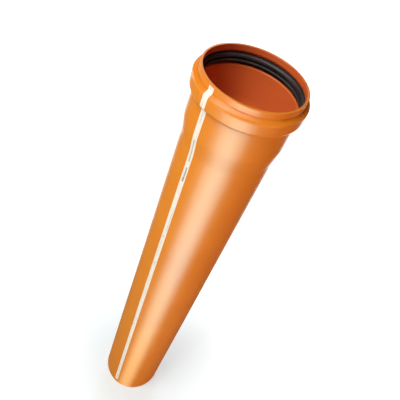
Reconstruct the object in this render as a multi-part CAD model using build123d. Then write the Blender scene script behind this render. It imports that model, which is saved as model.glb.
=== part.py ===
"""Plain-walled PVC-U drain pipe with a push-fit socket, its rubber sealing ring and its marking strip.

Millimetres. The pipe stands upright on its spigot end, with the origin at the middle of that end and
the socket's mouth on top. Each round piece is a section of (radius, height) points, turned about Z.
"""
from build123d import *
import os
from math import cos, hypot, radians, tan

# Barrel
outside_diameter = 315.0
wall = 7.7
laying_length = 2000.0
spigot_chamfer_length = 12.0
spigot_chamfer_angle = 15.0

# Socket
entry_clearance = 0.5
socket_wall = 7.5
socket_depth = 185.0
shoulder_length = 65.0
shoulder_blend = 90.0
mouth_bevel = 1.0
mouth_edge_bevel = 1.5

# Bead on the outside of the socket, with the ring groove inside it
lip_length = 21.0
bead_rise = 15.0
bead_front_length = 9.0
bead_crest_length = 40.0
bead_back_length = 13.0
bead_front_blend = 10.0
bead_back_blend = 14.0
groove_wall = 5.8
groove_lip_round = 14.0
groove_back_setback = 14.0
groove_back_draft = 12.0

# Sealing ring: a round lobe ahead of a narrow lip, on a body that fills the groove
seat_clearance = 0.3
lobe_squeeze = 2.5
lobe_rise = 3.0
lobe_setback = 9.7
lobe_length = 13.0
recess_depth = 5.0
lobe_front_flank = 2.5
lobe_back_flank = 3.5
lip_squeeze = 4.0
lip_drop = 1.0
lip_tip_width = 5.0
lip_root_width = 9.5

# Marking strip
strip_width = 20.0
strip_thickness = 0.3
strip_bond = 0.05
strip_azimuth = -117.9
strip_slant = 1.2
strip_mouth_gap = 4.0
strip_foot_gap = 30.0

# Radii that follow from the sizes above
barrel_r = outside_diameter / 2
inner_r = barrel_r - wall
tip_r = barrel_r - spigot_chamfer_length * tan(radians(spigot_chamfer_angle))
bore_r = barrel_r + entry_clearance
socket_r = bore_r + socket_wall
bead_r = socket_r + bead_rise
groove_r = bead_r - groove_wall

# Heights that follow, from the foot up
stop_z = laying_length
shoulder_z = stop_z - shoulder_length
mouth_z = stop_z + socket_depth
bead_front_z = mouth_z - lip_length
crest_top_z = bead_front_z - bead_front_length
crest_low_z = crest_top_z - bead_crest_length
bead_back_z = crest_low_z - bead_back_length


def groove_front_z(radius):
    """Height of the groove's front wall at a radius: the bead's front, moved in by the wall."""
    slope = bead_front_length / bead_rise
    through_wall = groove_wall * hypot(1, slope)
    return bead_front_z - (radius - socket_r) * slope - through_wall


def groove_back_z(radius):
    """Height of the groove's back wall at a radius: nearly square to the axis, ahead of the bead's foot."""
    draft = (radius - bore_r) * tan(radians(groove_back_draft))
    return bead_back_z + groove_back_setback + draft


def turned(outline):
    """The solid that a closed outline of (radius, height) sweeps round the pipe's axis."""
    return revolve(Plane.XZ * make_face(outline), axis=Axis.Z)


# Corners of the outside, from the spigot's tip up to the mouth
outside_corners = [
    (tip_r, 0, 0),
    (barrel_r, spigot_chamfer_length, 0),
    (barrel_r, shoulder_z, shoulder_blend),
    (socket_r, stop_z, shoulder_blend),
    (socket_r, bead_back_z, 0),
    (bead_r, crest_low_z, bead_back_blend),
    (bead_r, crest_top_z, bead_front_blend),
    (socket_r, bead_front_z, 0),
    (socket_r, mouth_z - mouth_edge_bevel, 0),
    (socket_r - mouth_edge_bevel, mouth_z, 0),
]

# Corners of the inside, from the mouth back down to the spigot's tip
inside_corners = [
    (bore_r + mouth_bevel, mouth_z, 0),
    (bore_r, mouth_z - mouth_bevel, 0),
    (bore_r, groove_front_z(bore_r), groove_lip_round),
    (groove_r, groove_front_z(groove_r), 0),
    (groove_r, groove_back_z(groove_r), 0),
    (bore_r, groove_back_z(bore_r), 0),
    (bore_r, stop_z, shoulder_blend),
    (inner_r, shoulder_z, shoulder_blend),
    (inner_r, 0, 0),
]


def pipe():
    """Barrel, chamfered spigot, shoulder, socket and bead: one extruded and belled wall."""
    corners = outside_corners + inside_corners
    points = [(radius, height) for radius, height, rounding in corners]
    roundings = [rounding for radius, height, rounding in corners]
    return turned(FilletPolyline(*points, radius=roundings, close=True))


def sealing_ring():
    """Rubber ring that lies in the groove and reaches inside the next pipe's outside."""
    seat_r = groove_r - seat_clearance
    front_gap = seat_clearance * hypot(1, bead_front_length / bead_rise)
    back_gap = seat_clearance / cos(radians(groove_back_draft))

    lobe_r = barrel_r - lobe_squeeze
    lobe_base_r = lobe_r + lobe_rise
    lobe_top_z = groove_front_z(bore_r) - lobe_setback
    lobe_low_z = lobe_top_z - lobe_length
    lobe = ThreePointArc(
        (lobe_base_r, lobe_top_z),
        (lobe_r, (lobe_top_z + lobe_low_z) / 2),
        (lobe_base_r, lobe_low_z),
    )

    recess_r = lobe_base_r + recess_depth
    recess_z = lobe_low_z - lobe_back_flank
    lip_r = barrel_r - lip_squeeze
    lip_top_z = recess_z - lip_drop
    rest = Polyline(
        (lobe_base_r, lobe_low_z),
        (recess_r, recess_z),
        (lip_r, lip_top_z),
        (lip_r, lip_top_z - lip_tip_width),
        (recess_r, recess_z - lip_root_width),
        (recess_r, groove_back_z(recess_r) + back_gap),
        (seat_r, groove_back_z(seat_r) + back_gap),
        (seat_r, groove_front_z(seat_r) - front_gap),
        (recess_r, groove_front_z(recess_r) - front_gap),
        (recess_r, lobe_top_z + lobe_front_flank),
        (lobe_base_r, lobe_top_z),
    )
    return turned([lobe, rest])


def marking_strip():
    """Film strip stuck down the outside, over shoulder and bead, a little off the pipe's line."""
    top_z = mouth_z - mouth_edge_bevel - strip_mouth_gap
    low_z = spigot_chamfer_length + strip_foot_gap
    line_corners = outside_corners[1:-1]
    points = [(radius, height) for radius, height, rounding in line_corners]
    roundings = [rounding for radius, height, rounding in line_corners[1:-1]]
    outside = FilletPolyline(*points, radius=roundings)
    inner_edge = outside.offset_2d(strip_bond, side=Side.RIGHT, closed=False)
    outer_edge = outside.offset_2d(strip_bond + strip_thickness, side=Side.RIGHT, closed=False)
    ends = [Line(inner_edge @ end, outer_edge @ end) for end in (0, 1)]
    skin = turned([inner_edge, outer_edge, *ends])

    middle_z = (top_z + low_z) / 2
    window_length = (top_z - low_z) / cos(radians(strip_slant))
    window = Box(bead_r * 2, strip_width, window_length, align=(Align.MIN, Align.CENTER, Align.CENTER))
    return skin & Pos(0, 0, middle_z) * Rot(0, 0, strip_azimuth) * Rot(strip_slant, 0, 0) * window


os.makedirs("parts", exist_ok=True)
pieces = {
    "pipe": pipe(),
    "sealing_ring": sealing_ring(),
    "marking_strip": marking_strip(),
}
for node, piece in pieces.items():
    export_step(piece, f"parts/{node}.step")
    print(node, round(piece.volume / 1000, 1), "cm3")
print("overall length", mouth_z, "mm, bead diameter", 2 * bead_r, "mm")
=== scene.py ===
"""Blender scene of the drain pipe with its push-fit socket, sealing ring and marking strip.

Metres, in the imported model's frame: the pipe stands on its spigot end, with the socket's mouth on top.
A section is a list of (radius, height, rounding) corners, as in the part's source, with the fine
roundings that the source leaves out. A point of a section is a vector of radius and height.
"""
from math import atan2, ceil, cos, hypot, pi, radians, sin, sqrt, tan

import bpy
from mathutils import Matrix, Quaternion, Vector


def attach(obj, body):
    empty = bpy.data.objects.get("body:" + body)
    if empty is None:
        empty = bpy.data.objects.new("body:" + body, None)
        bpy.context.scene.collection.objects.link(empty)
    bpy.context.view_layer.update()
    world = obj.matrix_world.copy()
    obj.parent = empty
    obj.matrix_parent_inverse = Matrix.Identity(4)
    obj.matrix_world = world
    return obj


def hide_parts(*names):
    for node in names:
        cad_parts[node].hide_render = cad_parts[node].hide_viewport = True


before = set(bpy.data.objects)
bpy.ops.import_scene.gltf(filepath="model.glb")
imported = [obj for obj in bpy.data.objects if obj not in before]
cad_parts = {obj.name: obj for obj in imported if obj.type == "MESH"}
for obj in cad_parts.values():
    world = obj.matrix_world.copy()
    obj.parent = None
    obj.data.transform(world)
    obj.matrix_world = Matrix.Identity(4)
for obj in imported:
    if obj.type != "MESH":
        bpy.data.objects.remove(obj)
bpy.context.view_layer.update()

MM = 0.001

# Barrel
outside_diameter = 315.0 * MM
wall = 7.7 * MM
laying_length = 2000.0 * MM
spigot_chamfer_length = 12.0 * MM
spigot_chamfer_angle = radians(15)

# Socket
entry_clearance = 0.5 * MM
socket_wall = 7.5 * MM
socket_depth = 185.0 * MM
shoulder_length = 65.0 * MM
shoulder_blend = 90.0 * MM
mouth_bevel = 1.0 * MM
mouth_edge_round = 1.5 * MM

# Bead and groove
lip_length = 21.0 * MM
bead_rise = 15.0 * MM
bead_front_length = 9.0 * MM
bead_crest_length = 40.0 * MM
bead_back_length = 13.0 * MM
bead_front_blend = 10.0 * MM
bead_back_blend = 14.0 * MM
bead_foot_blend = 1.2 * MM
groove_wall = 5.8 * MM
groove_lip_round = 14.0 * MM
groove_edge_round = 4.0 * MM
groove_corner_round = 3.0 * MM
groove_back_setback = 14.0 * MM
groove_back_draft = radians(12)

# Sealing ring
seat_clearance = 0.3 * MM
lobe_squeeze = 2.5 * MM
lobe_rise = 3.0 * MM
lobe_setback = 9.7 * MM
lobe_length = 13.0 * MM
recess_depth = 5.0 * MM
recess_round = 1.0 * MM
lobe_front_flank = 2.5 * MM
lobe_back_flank = 3.5 * MM
lip_squeeze = 4.0 * MM
lip_drop = 1.0 * MM
lip_tip_width = 5.0 * MM
lip_tip_round = 1.8 * MM
lip_root_width = 9.5 * MM

# Marking strip
strip_width = 20.0 * MM
strip_thickness = 0.3 * MM
strip_bond = 0.05 * MM
strip_azimuth = radians(-117.9)
strip_slant = radians(1.2)
strip_mouth_gap = 4.0 * MM
strip_foot_gap = 30.0 * MM
film_bridge = 9.0 * MM

# Faded print on the film: place across, width, start and end along it, darkness
film_print = [
    (-2.0 * MM, 6.0 * MM, 2138 * MM, 2149 * MM, 0.35),
    (-2.0 * MM, 6.0 * MM, 2084 * MM, 2095 * MM, 0.25),
    (0.0 * MM, 6.0 * MM, 2016 * MM, 2050 * MM, 0.32),
    (0.0 * MM, 4.0 * MM, 1858 * MM, 1950 * MM, 0.60),
    (2.0 * MM, 4.0 * MM, 1784 * MM, 1832 * MM, 0.90),
    (2.0 * MM, 8.0 * MM, 1768 * MM, 1784 * MM, 1.00),
    (4.0 * MM, 4.0 * MM, 1503 * MM, 1634 * MM, 0.55),
    (-2.0 * MM, 4.0 * MM, 1456 * MM, 1470 * MM, 0.40),
    (-2.0 * MM, 4.0 * MM, 1331 * MM, 1443 * MM, 0.18),
    (0.0 * MM, 4.0 * MM, 1282 * MM, 1296 * MM, 0.40),
    (0.0 * MM, 4.0 * MM, 1000 * MM, 1180 * MM, 0.12),
    (-2.0 * MM, 4.0 * MM, 736 * MM, 750 * MM, 0.40),
]

# Fineness of the meshes
turned_segments = 256
arc_step = radians(9)
fewest_arc_steps = 4
hold_distance = 1.0 * MM
shortest_held_run = 4.0 * MM
smooth_below_angle = radians(35)
cut_edge_round = 0.5 * MM
strip_columns = 10
strip_row_length = 4.0 * MM

# Radii that follow
barrel_r = outside_diameter / 2
inner_r = barrel_r - wall
tip_r = barrel_r - spigot_chamfer_length * tan(spigot_chamfer_angle)
bore_r = barrel_r + entry_clearance
socket_r = bore_r + socket_wall
bead_r = socket_r + bead_rise
groove_r = bead_r - groove_wall

# Heights that follow
stop_z = laying_length
shoulder_z = stop_z - shoulder_length
mouth_z = stop_z + socket_depth
bead_front_z = mouth_z - lip_length
crest_top_z = bead_front_z - bead_front_length
crest_low_z = crest_top_z - bead_crest_length
bead_back_z = crest_low_z - bead_back_length
film_top_z = mouth_z - mouth_edge_round - strip_mouth_gap
film_low_z = spigot_chamfer_length + strip_foot_gap
film_middle_z = (film_top_z + film_low_z) / 2


# Sections and turned meshes

def groove_front_z(radius):
    """Height of the groove's front wall at a radius: the bead's front, moved in by the wall."""
    slope = bead_front_length / bead_rise
    return bead_front_z - (radius - socket_r) * slope - groove_wall * hypot(1, slope)


def groove_back_z(radius):
    """Height of the groove's back wall at a radius: ahead of the bead's back foot, with a draft."""
    return bead_back_z + groove_back_setback + (radius - bore_r) * tan(groove_back_draft)


def swept(centre, radius, start, end, fewest_steps=1):
    """Points of the arc round a centre from one direction to another, with both its ends."""
    turn = atan2(start.x * end.y - start.y * end.x, start.dot(end))
    steps = max(fewest_steps, ceil(abs(turn) / arc_step))
    points = []
    for step in range(steps + 1):
        angle = atan2(start.y, start.x) + turn * step / steps
        points.append(centre + Vector((cos(angle), sin(angle))) * radius)
    return points


def corner_arc(before, corner, after, rounding):
    """Points of the arc that rounds a corner between the directions to its two neighbours."""
    to_before = (before - corner).normalized()
    to_after = (after - corner).normalized()
    half = to_before.angle(to_after) / 2
    centre = corner + (to_before + to_after).normalized() * rounding / sin(half)
    start = corner + to_before * rounding / tan(half) - centre
    end = corner + to_after * rounding / tan(half) - centre
    return swept(centre, rounding, start, end, fewest_arc_steps)


def arc_through(start, middle, end):
    """Points of the arc through three points, without its two ends."""
    half_chord = (end - start).length / 2
    rise = (middle - (start + end) / 2).length
    radius = (half_chord ** 2 + rise ** 2) / (2 * rise)
    centre = middle + ((start + end) / 2 - middle).normalized() * radius
    return swept(centre, radius, start - centre, end - centre)[1:-1]


def rounded(corners, closed=True):
    """Points of an outline, with each corner's rounding as an arc and held straight beside it."""
    places = [Vector((radius, height)) for radius, height, rounding in corners]
    runs = []
    for number, (radius, height, rounding) in enumerate(corners):
        has_neighbours = closed or 0 < number < len(corners) - 1
        if rounding and has_neighbours:
            following = places[(number + 1) % len(places)]
            runs.append(corner_arc(places[number - 1], places[number], following, rounding))
        else:
            runs.append([places[number]])
    points = []
    for number, run in enumerate(runs):
        points += run
        if closed or number < len(runs) - 1:
            start, end = run[-1], runs[(number + 1) % len(runs)][0]
            if (end - start).length > shortest_held_run:
                step = (end - start).normalized() * hold_distance
                points += [start + step, end - step]
    return points


def new_object(name, data):
    """An object in the scene, with its data."""
    made = bpy.data.objects.new(name, data)
    bpy.context.scene.collection.objects.link(made)
    return made


def new_piece(name, spots, faces, stands_for):
    """A mesh piece that rides on the pipe's one body and stands for a CAD node."""
    mesh = bpy.data.meshes.new(name)
    mesh.from_pydata(spots, [], faces)
    mesh.validate()
    mesh.shade_smooth()
    mesh.set_sharp_from_angle(angle=smooth_below_angle)
    piece = new_object(name, mesh)
    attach(piece, "root")
    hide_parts(stands_for)
    return piece


def turned(name, outline, stands_for):
    """A piece whose closed outline is turned about the pipe's axis."""
    rows = len(outline)
    spots = []
    faces = []
    for segment in range(turned_segments):
        angle = 2 * pi * segment / turned_segments
        spots += [(radius * cos(angle), radius * sin(angle), height) for radius, height in outline]
        here = segment * rows
        there = (segment + 1) % turned_segments * rows
        for row in range(rows):
            above = (row + 1) % rows
            faces.append((here + row, there + row, there + above, here + above))
    return new_piece(name, spots, faces, stands_for)


# Pipe

outside_corners = [
    (tip_r, 0, cut_edge_round),
    (barrel_r, spigot_chamfer_length, cut_edge_round),
    (barrel_r, shoulder_z, shoulder_blend),
    (socket_r, stop_z, shoulder_blend),
    (socket_r, bead_back_z, bead_foot_blend),
    (bead_r, crest_low_z, bead_back_blend),
    (bead_r, crest_top_z, bead_front_blend),
    (socket_r, bead_front_z, bead_foot_blend),
    (socket_r, mouth_z, mouth_edge_round),
]

inside_corners = [
    (bore_r + mouth_bevel, mouth_z, cut_edge_round),
    (bore_r, mouth_z - mouth_bevel, cut_edge_round),
    (bore_r, groove_front_z(bore_r), groove_lip_round),
    (groove_r, groove_front_z(groove_r), groove_corner_round),
    (groove_r, groove_back_z(groove_r), groove_corner_round),
    (bore_r, groove_back_z(bore_r), groove_edge_round),
    (bore_r, stop_z, shoulder_blend),
    (inner_r, shoulder_z, shoulder_blend),
    (inner_r, 0, cut_edge_round),
]


def make_pipe():
    """Barrel, chamfered spigot, shoulder, socket and bead in one wall."""
    return turned("pipe_wall", rounded(outside_corners + inside_corners), "pipe")


# Sealing ring

def make_ring():
    """Rubber ring that lies in the groove: seat, shoulder, round lobe, recess and narrow lip."""
    seat_r = groove_r - seat_clearance
    front_gap = seat_clearance * hypot(1, bead_front_length / bead_rise)
    back_gap = seat_clearance / cos(groove_back_draft)
    lobe_r = barrel_r - lobe_squeeze
    lobe_base_r = lobe_r + lobe_rise
    lobe_top_z = groove_front_z(bore_r) - lobe_setback
    lobe_low_z = lobe_top_z - lobe_length
    lobe_middle_z = (lobe_top_z + lobe_low_z) / 2
    recess_r = lobe_base_r + recess_depth
    recess_z = lobe_low_z - lobe_back_flank
    lip_r = barrel_r - lip_squeeze
    lip_top_z = recess_z - lip_drop
    corners = [
        (lobe_base_r, lobe_low_z, 0),
        (recess_r, recess_z, recess_round),
        (lip_r, lip_top_z, lip_tip_round),
        (lip_r, lip_top_z - lip_tip_width, lip_tip_round),
        (recess_r, recess_z - lip_root_width, recess_round),
        (recess_r, groove_back_z(recess_r) + back_gap, cut_edge_round),
        (seat_r, groove_back_z(seat_r) + back_gap, groove_corner_round),
        (seat_r, groove_front_z(seat_r) - front_gap, groove_corner_round),
        (recess_r, groove_front_z(recess_r) - front_gap, cut_edge_round),
        (recess_r, lobe_top_z + lobe_front_flank, recess_round),
        (lobe_base_r, lobe_top_z, 0),
    ]
    outline = rounded(corners, closed=False)
    outline += arc_through(outline[-1], Vector((lobe_r, lobe_middle_z)), outline[0])
    return turned("ring_rubber", outline, "sealing_ring")


# Marking strip

def film_line():
    """Outside line from foot to mouth that the film lies on, bridging the bead's hollow feet."""
    corners = []
    for radius, height, rounding in outside_corners[1:]:
        at_foot = height in (bead_back_z, bead_front_z)
        corners.append((radius, height, film_bridge if at_foot else rounding))
    return rounded(corners, closed=False)


def film_rows():
    """Points under the film from its lower end to its upper end, one for each row of its mesh."""
    rows = [Vector((barrel_r, film_low_z))]
    for point in film_line():
        start = rows[-1]
        if point.y <= start.y:
            continue
        at_top = point.y >= film_top_z
        if at_top:
            point = start.lerp(point, (film_top_z - start.y) / (point.y - start.y))
        count = ceil((point - start).length / strip_row_length)
        rows += [start.lerp(point, step / count) for step in range(1, count + 1)]
        if at_top:
            break
    return rows


def film_spot(place, across):
    """Where a section's point lies in space, at a distance across the slanted film."""
    aside = across / cos(strip_slant) - (place.y - film_middle_z) * tan(strip_slant)
    reach = sqrt(place.x ** 2 - aside ** 2)
    return (
        reach * cos(strip_azimuth) - aside * sin(strip_azimuth),
        reach * sin(strip_azimuth) + aside * cos(strip_azimuth),
        place.y,
    )


def film_faces(row_count):
    """Faces of the film: its inner and outer side, its two long edges and its two ends."""
    wide = strip_columns + 1
    last = strip_columns
    faces = []
    for number in range(row_count - 1):
        low = number * 2 * wide
        high = low + 2 * wide
        for column in range(strip_columns):
            faces.append((low + column, high + column, high + column + 1, low + column + 1))
            outer, above = low + wide + column, high + wide + column
            faces.append((outer, outer + 1, above + 1, above))
        faces.append((low, low + wide, high + wide, high))
        faces.append((low + last, high + last, high + wide + last, low + wide + last))
    for low, turn in ((0, 1), ((row_count - 1) * 2 * wide, -1)):
        for column in range(strip_columns):
            end = (low + column, low + column + 1, low + wide + column + 1, low + wide + column)
            faces.append(end[::turn])
    return faces


def ink_at(across, run):
    """How dark the film's print is at a place across it and along it from its lower end."""
    for middle, width, start, end, darkness in film_print:
        if abs(across - middle) <= width / 2 and start <= run <= end:
            return darkness
    return 0.0


def make_strip():
    """White film stuck down the outside, a little off the pipe's line."""
    rows = film_rows()
    spots = []
    travel = []
    run = 0
    for number, point in enumerate(rows):
        along = (rows[min(number + 1, len(rows) - 1)] - rows[max(number - 1, 0)]).normalized()
        outward = Vector((along.y, -along.x))
        run += (point - rows[number - 1]).length if number else 0
        for lift in (strip_bond, strip_bond + strip_thickness):
            for column in range(strip_columns + 1):
                across = (column / strip_columns - 0.5) * strip_width
                spots.append(film_spot(point + outward * lift, across))
                travel.append((across, run))
    strip = new_piece("strip_film", spots, film_faces(len(rows)), "marking_strip")
    ink = strip.data.attributes.new("ink", "FLOAT", "POINT")
    for number, (across, run) in enumerate(travel):
        ink.data[number].value = ink_at(across, run)
    layer = strip.data.uv_layers.new(name="film_run")
    for loop in strip.data.loops:
        layer.data[loop.index].uv = travel[loop.vertex_index]
    return strip


# Colours of the materials
pvc_deep = (0.76, 0.230, 0.012, 1)
pvc_pale = (0.80, 0.256, 0.015, 1)
pvc_streak = (0.72, 0.208, 0.010, 1)
pvc_worn = (0.83, 0.31, 0.07, 1)
# Painted shade: dark colour for the bead's concave feet, where shade falls
pvc_painted_shade = (0.44, 0.085, 0.006, 1)
# Painted shade: a redder copy of the orange for faces inside the bore, standing in for light bounced
# round within it
pvc_shaded_inside_deep = (0.80, 0.162, 0.042, 1)
pvc_shaded_inside_pale = (0.83, 0.174, 0.046, 1)
rubber_deep = (0.020, 0.018, 0.020, 1)
rubber_bloom = (0.042, 0.038, 0.042, 1)
film_deep = (0.88, 0.81, 0.73, 1)
film_pale = (0.93, 0.86, 0.78, 1)
film_ink = (0.10, 0.12, 0.15, 1)
floor_seen = (0.37, 0.45, 0.50, 1)
# Painted reflection: the floor's colour as gloss sees it, a dim warm brown for warm surroundings
# reflected in the pipe
floor_painted_reflection = (0.27, 0.20, 0.13, 1)
white = (1, 1, 1, 1)

# Spans of noise, from where it starts to show to where it shows fully
noise_span = (0.30, 0.70)
cloud_span = (0.35, 0.65)

# PVC-U: grains per metre, stretches by axis, spans, shares and depths
pvc_ior = 1.4
pvc_satin = (0.27, 0.33)
pvc_cloud_grain = 3.0
streak_grain = 160.0
streak_stretch = (1, 1, 0.012)
streak_share = 0.25
streak_depth = 0.10 * MM
wave_grain = 9.0
wave_stretch = (1, 1, 0.5)
wave_depth = 0.30 * MM
smear_grain = 7.0
smear_stretch = (1, 1, 0.15)
scuff_grain = 26.0
scuff_detail = 6.0
scuff_distortion = 1.5
scuff_span = (0.60, 0.72)
scuff_dulling = 0.10
patch_grain = 22.0
patch_span = (0.35, 0.60)
patch_least = 0.4
worn_edge_span = (0.506, 0.513)
worn_edge_share = 0.35
pale_share = 0.6
turned_end_z = spigot_chamfer_length
turned_end_fade = 0.3 * MM
turned_dulling = 0.2
turned_groove_grain = 320.0
turned_groove_distortion = 0.3
turned_groove_depth = 0.15 * MM
# Painted shade in the bead's front and back feet: reach and level of the dark band
painted_shade_front_reach = 4.0 * MM
painted_shade_front_level = 0.6
painted_shade_back_reach = 3.0 * MM
painted_shade_back_level = 0.3
# How far faces must turn towards the axis to take the painted inside shade
inward_reach = 50.0 * MM

# Rubber: grains per metre, stretch by axis, span and depths
rubber_ior = 1.42
rubber_satin = (0.42, 0.52)
bloom_grain = 14.0
bloom_detail = 5.0
bloom_span = (0.35, 0.70)
flow_line_grain = 500.0
flow_line_stretch = (0.03, 0.03, 1)
flow_line_depth = 0.06 * MM
rubber_grain = 900.0
rubber_grain_depth = 0.05 * MM

# Film: grains per metre, span of the breaks in its print, and depth of its creases
film_satin = (0.38, 0.50)
film_cloud_grain = 18.0
film_smear_grain = 30.0
film_crease_grain = 45.0
film_crease_detail = 2.0
film_crease_depth = 0.20 * MM
print_break_grain = (420.0, 260.0, 1)
print_break_span = (0.40, 0.55)
print_least = 0.35

# Sockets of the Mix node where it mixes colours
mix_factor = 0
mix_first = 6
mix_second = 7
mix_result = 2


# Nodes that the materials share

def linked(tree, kind, values, **settings):
    """Adds a node, sets its settings, and gives each named input a number, a colour or a link."""
    node = tree.nodes.new(kind)
    for key, value in settings.items():
        setattr(node, key, value)
    for key, value in values.items():
        if isinstance(value, bpy.types.NodeSocket):
            tree.links.new(value, node.inputs[key])
        else:
            node.inputs[key].default_value = value
    return node


def noise(tree, scale, stretch=(1, 1, 1), detail=3.0, offset=0.0, distortion=0.0):
    """Noise in object space, from 0 to 1, with its grain per metre and its stretch by axis."""
    place = linked(tree, "ShaderNodeTexCoord", {})
    moved = linked(tree, "ShaderNodeMapping", {
        "Vector": place.outputs["Object"],
        "Scale": stretch,
        "Location": (offset, offset, offset),
    })
    texture = linked(tree, "ShaderNodeTexNoise", {
        "Vector": moved.outputs["Vector"],
        "Scale": scale,
        "Detail": detail,
        "Distortion": distortion,
    })
    return texture.outputs["Fac"]


def ranged(tree, value, low, high, to_low=0.0, to_high=1.0):
    """A value carried from one range to another, held at both ends."""
    node = linked(tree, "ShaderNodeMapRange", {
        "Value": value,
        "From Min": low,
        "From Max": high,
        "To Min": to_low,
        "To Max": to_high,
    })
    return node.outputs["Result"]


def computed(tree, operation, first, second=0.0):
    """The result of an operation on one value or on two."""
    return linked(tree, "ShaderNodeMath", {0: first, 1: second}, operation=operation).outputs["Value"]


def mixed(tree, factor, first, second):
    """Two colours mixed by a factor."""
    values = {mix_factor: factor, mix_first: first, mix_second: second}
    return linked(tree, "ShaderNodeMix", values, data_type="RGBA").outputs[mix_result]


def bumped(tree, height, distance, under=None):
    """A normal from a height of 0 to 1, over the given distance in metres."""
    values = {"Height": height, "Distance": distance}
    if under:
        values["Normal"] = under
    return linked(tree, "ShaderNodeBump", values).outputs["Normal"]


def distance_out(tree):
    """Distance from the frame's origin, where the pipe stands."""
    place = linked(tree, "ShaderNodeTexCoord", {})
    values = {0: place.outputs["Object"]}
    return linked(tree, "ShaderNodeVectorMath", values, operation="LENGTH").outputs["Value"]


def facing_inwards(tree):
    """0 on faces that look away from the pipe's axis, 1 where they look well towards it."""
    spot = linked(tree, "ShaderNodeNewGeometry", {})
    values = {0: spot.outputs["Position"], 1: (1, 1, 0)}
    across = linked(tree, "ShaderNodeVectorMath", values, operation="MULTIPLY")
    values = {0: across.outputs["Vector"], 1: spot.outputs["Normal"]}
    outward = linked(tree, "ShaderNodeVectorMath", values, operation="DOT_PRODUCT")
    return ranged(tree, outward.outputs["Value"], 0, -inward_reach)


def near_height(tree, height, level, reach, peak):
    """Peak value at a height, falling to 0 at a reach from it."""
    gap = computed(tree, "ABSOLUTE", computed(tree, "SUBTRACT", height, level))
    return ranged(tree, gap, reach, 0, 0, peak)


def new_finish(name):
    """A material with its tree and its shader."""
    material = bpy.data.materials.new(name)
    material.use_nodes = True
    return material, material.node_tree, material.node_tree.nodes["Principled BSDF"]


def plug_in(tree, shader, colour, roughness, normal):
    """Links a finish's colour, roughness and normal to its shader."""
    tree.links.new(colour, shader.inputs["Base Color"])
    tree.links.new(roughness, shader.inputs["Roughness"])
    tree.links.new(normal, shader.inputs["Normal"])


# Materials

def pvc_colour(tree, height, streaks, turned_end):
    """Clouded and streaked colour, pale where worn or turned; painted shade darkens the bead's feet and
    reddens the inside.
    """
    clouds = ranged(tree, noise(tree, pvc_cloud_grain), *cloud_span)
    patches = ranged(tree, noise(tree, patch_grain, offset=7.0), *patch_span, patch_least, 1.0)
    base = mixed(tree, clouds, pvc_deep, pvc_pale)
    base = mixed(tree, ranged(tree, streaks, *noise_span, 0, streak_share), base, pvc_streak)
    edge = linked(tree, "ShaderNodeNewGeometry", {}).outputs["Pointiness"]
    worn = computed(tree, "MULTIPLY", ranged(tree, edge, *worn_edge_span, 0, worn_edge_share), patches)
    pale = computed(tree, "MAXIMUM", worn, turned_end)
    base = mixed(tree, ranged(tree, pale, 0, 1, 0, pale_share), base, pvc_worn)
    # Painted shade: dark bands at the bead's front and back feet, where the concave corners lie in
    # shade, broken up by patches
    front_foot = near_height(tree, height, bead_front_z, painted_shade_front_reach, painted_shade_front_level)
    back_foot = near_height(tree, height, bead_back_z, painted_shade_back_reach, painted_shade_back_level)
    feet = computed(tree, "MAXIMUM", front_foot, back_foot)
    base = mixed(tree, computed(tree, "MULTIPLY", feet, patches), base, pvc_painted_shade)
    # Painted shade: faces turned towards the axis take the redder inside colour, for the bounced light
    # inside the bore
    inside = mixed(tree, clouds, pvc_shaded_inside_deep, pvc_shaded_inside_pale)
    return mixed(tree, facing_inwards(tree), base, inside)


def pvc_roughness(tree, turned_end):
    """Satin in long smears, duller where scuffed and on the turned end."""
    smears = noise(tree, smear_grain, stretch=smear_stretch, offset=3.0)
    scuffs = noise(tree, scuff_grain, detail=scuff_detail, distortion=scuff_distortion)
    rough = ranged(tree, smears, *noise_span, *pvc_satin)
    rough = computed(tree, "ADD", rough, ranged(tree, scuffs, *scuff_span, 0, scuff_dulling))
    return computed(tree, "ADD", rough, ranged(tree, turned_end, 0, 1, 0, turned_dulling))


def pvc_normal(tree, streaks, turned_end):
    """Fine streaks and slow waves along the wall, and turned grooves on the chamfer."""
    waves = noise(tree, wave_grain, stretch=wave_stretch, detail=1.0, offset=5.0)
    place = linked(tree, "ShaderNodeTexCoord", {})
    grooves = linked(tree, "ShaderNodeTexWave", {
        "Vector": place.outputs["Object"],
        "Scale": turned_groove_grain,
        "Distortion": turned_groove_distortion,
    }, bands_direction="Z")
    cut = computed(tree, "MULTIPLY", grooves.outputs["Fac"], turned_end)
    normal = bumped(tree, streaks, streak_depth)
    normal = bumped(tree, waves, wave_depth, under=normal)
    return bumped(tree, cut, turned_groove_depth, under=normal)


def pvc_finish():
    """Orange-brown extruded PVC-U: clouded, streaked, scuffed, pale on cut edges, with painted shade in
    creases and inside.
    """
    material, tree, shader = new_finish("pvc_orange")
    place = linked(tree, "ShaderNodeTexCoord", {})
    height = linked(tree, "ShaderNodeSeparateXYZ", {0: place.outputs["Object"]}).outputs["Z"]
    streaks = noise(tree, streak_grain, stretch=streak_stretch)
    turned_end = ranged(tree, height, turned_end_z + turned_end_fade, turned_end_z - turned_end_fade)
    colour = pvc_colour(tree, height, streaks, turned_end)
    roughness = pvc_roughness(tree, turned_end)
    plug_in(tree, shader, colour, roughness, pvc_normal(tree, streaks, turned_end))
    shader.inputs["IOR"].default_value = pvc_ior
    return material


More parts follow.
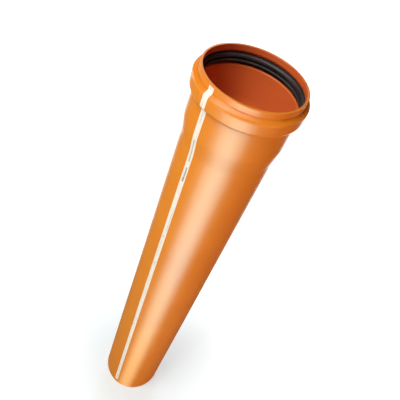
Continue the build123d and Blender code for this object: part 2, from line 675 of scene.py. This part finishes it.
def rubber_finish():
    """Black moulded rubber with a grey bloom, fine grain and faint flow lines round the ring."""
    material, tree, shader = new_finish("ring_black")
    bloom = noise(tree, bloom_grain, detail=bloom_detail)
    base = mixed(tree, ranged(tree, bloom, *bloom_span), rubber_deep, rubber_bloom)
    rough = ranged(tree, bloom, *noise_span, *rubber_satin)
    flow = noise(tree, flow_line_grain, stretch=flow_line_stretch, offset=2.0)
    normal = bumped(tree, flow, flow_line_depth)
    normal = bumped(tree, noise(tree, rubber_grain), rubber_grain_depth, under=normal)
    plug_in(tree, shader, base, rough, normal)
    shader.inputs["IOR"].default_value = rubber_ior
    return material


def film_finish():
    """White film with a faded line of plain printed dashes and patches."""
    material, tree, shader = new_finish("film_white")
    run = linked(tree, "ShaderNodeUVMap", {}, uv_map="film_run")
    spread = linked(tree, "ShaderNodeMapping", {"Vector": run.outputs["UV"], "Scale": print_break_grain})
    values = {"Vector": spread.outputs["Vector"], "Scale": 1.0, "Detail": 1.0}
    breaks = linked(tree, "ShaderNodeTexNoise", values).outputs["Fac"]
    ink = linked(tree, "ShaderNodeAttribute", {}, attribute_name="ink").outputs["Fac"]
    printed = computed(tree, "MULTIPLY", ink, ranged(tree, breaks, *print_break_span, print_least, 1.0))
    clouds = ranged(tree, noise(tree, film_cloud_grain), *cloud_span)
    base = mixed(tree, clouds, film_deep, film_pale)
    base = mixed(tree, printed, base, film_ink)
    smears = noise(tree, film_smear_grain, offset=4.0)
    rough = ranged(tree, smears, *noise_span, *film_satin)
    crease = noise(tree, film_crease_grain, detail=film_crease_detail, offset=1.0)
    plug_in(tree, shader, base, rough, bumped(tree, crease, film_crease_depth))
    return material


# Camera
camera_place = Vector((0.0, -1.1527, 2.8277))
camera_aim = Vector((-0.0096, 0.0, 1.6243))
camera_roll = radians(23.0)
camera_lens = 39.94
camera_clip_end = 200.0

# Floor and sky
floor_radius = 40.0
floor_corners = 64
floor_lift = 0.54
floor_lift_start = 0.2
floor_lift_end = 0.9
sky_level = 0.03
sky_gloss_level = 0.04

# Lamps
lamp_reach = 5.0
lamp_aim_z = 1.05
lamp_size = 2.0
plain = (1, 1, 1)
warm = (1.0, 0.97, 0.87)
orange = (1.0, 0.53, 0.32)

# Gleams, the glowing patches that show only in gloss
gleam_reach = 4.0
gleam_near_end = 0.3
gleam_far_start = 1.1
gleam_height = 0.5 * MM
gleam_steps = 12
top_gleam_z = 5.2
top_gleam_width = 1.4
cream = (0.90, 0.90, 0.50)
cool = (0.31, 0.86, 1.0)
pale_blue = (0.8, 1.0, 1.0)


# Studio

def add_camera():
    """Camera of the photograph, rolled so that the pipe leans to the right."""
    data = bpy.data.cameras.new("camera")
    data.lens = camera_lens
    data.clip_end = camera_clip_end
    camera = new_object("camera", data)
    camera.location = camera_place
    camera.rotation_mode = "QUATERNION"
    level = (camera_aim - camera_place).to_track_quat("-Z", "Y")
    camera.rotation_quaternion = level @ Quaternion((0, 0, 1), camera_roll)
    bpy.context.scene.camera = camera


def floor_finish():
    """White floor that keeps the pipe's soft shadow and is white further off, with a painted warm
    reflection in gloss.
    """
    material, tree, shader = new_finish("floor_white")
    path = linked(tree, "ShaderNodeLightPath", {})
    # Painted reflection: in gloss the floor is a dim warm brown instead of its seen colour
    base = mixed(tree, path.outputs["Is Glossy Ray"], floor_seen, floor_painted_reflection)
    lift = ranged(tree, distance_out(tree), floor_lift_start, floor_lift_end, floor_lift, 1.0)
    seen = computed(tree, "MULTIPLY", path.outputs["Is Camera Ray"], lift)
    tree.links.new(base, shader.inputs["Base Color"])
    tree.links.new(seen, shader.inputs["Emission Strength"])
    shader.inputs["Emission Color"].default_value = white
    shader.inputs["Roughness"].default_value = 1.0
    shader.inputs["Specular IOR Level"].default_value = 0.0
    return material


def add_floor():
    """Round pale floor under the pipe's foot."""
    spots = []
    for corner in range(floor_corners):
        angle = 2 * pi * corner / floor_corners
        spots.append((floor_radius * cos(angle), floor_radius * sin(angle), 0))
    mesh = bpy.data.meshes.new("floor")
    mesh.from_pydata(spots, [], [tuple(range(floor_corners))])
    mesh.materials.append(floor_finish())
    floor = new_object("floor", mesh)


def add_world():
    """Even sky that the camera sees as white."""
    world = bpy.data.worlds.new("studio")
    bpy.context.scene.world = world
    world.use_nodes = True
    tree = world.node_tree
    path = linked(tree, "ShaderNodeLightPath", {})
    light = ranged(tree, path.outputs["Is Glossy Ray"], 0, 1, sky_level, sky_gloss_level)
    level = computed(tree, "MAXIMUM", path.outputs["Is Camera Ray"], light)
    sky = tree.nodes["Background"]
    tree.links.new(level, sky.inputs["Strength"])
    sky.inputs["Color"].default_value = white


def add_lamp(name, azimuth, elevation, power, colour=plain, glossy=True):
    """Soft square lamp that shines on the pipe from a direction in degrees."""
    data = bpy.data.lights.new(name, "AREA")
    data.size = lamp_size
    data.energy = power
    data.color = colour
    lamp = new_object(name, data)
    level = cos(radians(elevation))
    outward = Vector((
        level * cos(radians(azimuth)),
        level * sin(radians(azimuth)),
        sin(radians(elevation)),
    ))
    lamp.location = Vector((0, 0, lamp_aim_z)) + outward * lamp_reach
    lamp.rotation_mode = "QUATERNION"
    lamp.rotation_quaternion = (-outward).to_track_quat("-Z", "Y")
    lamp.visible_camera = False
    lamp.visible_glossy = glossy


def gleam_finish(name, levels, colours):
    """Glow whose level and colour change with distance, as gloss weakens towards the mouth."""
    material = bpy.data.materials.new(name)
    material.use_nodes = True
    tree = material.node_tree
    tree.nodes.clear()
    near_level, far_level = levels
    near_colour, far_colour = colours
    distance = distance_out(tree)
    change = ranged(tree, distance, gleam_near_end, gleam_far_start)
    colour = mixed(tree, change, (*near_colour, 1), (*far_colour, 1))
    share = linked(tree, "ShaderNodeAttribute", {}, attribute_name="share").outputs["Fac"]
    level = ranged(tree, distance, 0, gleam_reach, near_level, far_level)
    level = computed(tree, "MULTIPLY", level, share)
    glow = linked(tree, "ShaderNodeEmission", {"Strength": level, "Color": colour})
    linked(tree, "ShaderNodeOutputMaterial", {"Surface": glow.outputs["Emission"]})
    return material


def add_patch(name, spots, faces, shares, levels, colours):
    """Flat glowing patch that shows only in gloss, with each corner's share of its strength."""
    mesh = bpy.data.meshes.new(name)
    mesh.from_pydata(spots, [], faces)
    share = mesh.attributes.new("share", "FLOAT", "POINT")
    for number, value in enumerate(shares):
        share.data[number].value = value
    mesh.materials.append(gleam_finish(name, levels, colours))
    patch = new_object(name, mesh)
    patch.visible_camera = False
    patch.visible_diffuse = False
    patch.visible_transmission = False
    patch.visible_shadow = False


def add_gleam(name, view_azimuth, middle, half_width, levels, colours):
    """Floor patch that draws a soft line up the barrel, at azimuths in degrees as a view sees them."""
    spots = []
    faces = []
    shares = []
    for step in range(gleam_steps + 1):
        place = 2 * step / gleam_steps - 1
        angle = radians(middle) + radians(half_width) * place
        mirrored = 2 * angle - radians(view_azimuth)
        spots.append((barrel_r * cos(angle), barrel_r * sin(angle), gleam_height))
        spots.append((gleam_reach * cos(mirrored), gleam_reach * sin(mirrored), gleam_height))
        shares += [cos(place * pi / 2)] * 2
        if step:
            faces.append((2 * step - 2, 2 * step - 1, 2 * step + 1, 2 * step))
    add_patch(name, spots, faces, shares, levels, colours)


def add_top_gleam(name, left, right, level):
    """Patch above the mouth that shines on the bead's sloping front."""
    half = top_gleam_width / 2
    spots = []
    for across, forward in ((left, -half), (right, -half), (right, half), (left, half)):
        spots.append((across, forward, top_gleam_z))
    add_patch(name, spots, [(0, 1, 2, 3)], [1, 1, 1, 1], (level, level), (plain, plain))


pipe = make_pipe()
pipe.data.materials.append(pvc_finish())
ring = make_ring()
ring.data.materials.append(rubber_finish())
strip = make_strip()
strip.data.materials.append(film_finish())

add_camera()
add_floor()
add_world()

# Lamps by azimuth, elevation, power and colour
add_lamp("key", -135, 60, 162, warm)
add_lamp("front", -80, 0, 34, warm)
add_lamp("front_left", -125, 0, 68, warm)
add_lamp("left", -165, 0, 40, warm)
add_lamp("right", -35, 0, 122, orange)
add_lamp("rim_left", 150, 0, 52)
add_lamp("rim_right", 25, 0, 13)
add_lamp("back", 95, 30, 52, glossy=False)
add_lamp("rim_back", 108, 27, 48)

# Gleams by view, middle, half width, levels and colours near and far
add_gleam("gleam_front", -90, -88.5, 19, (1.5, 29.0), (cream, cool))
add_gleam("gleam_back", 90, 90, 22, (5.0, 5.0), (cream, pale_blue))
add_top_gleam("gleam_top", -1.3, 0.6, 9.0)

bpy.context.scene.view_settings.view_transform = "Standard"
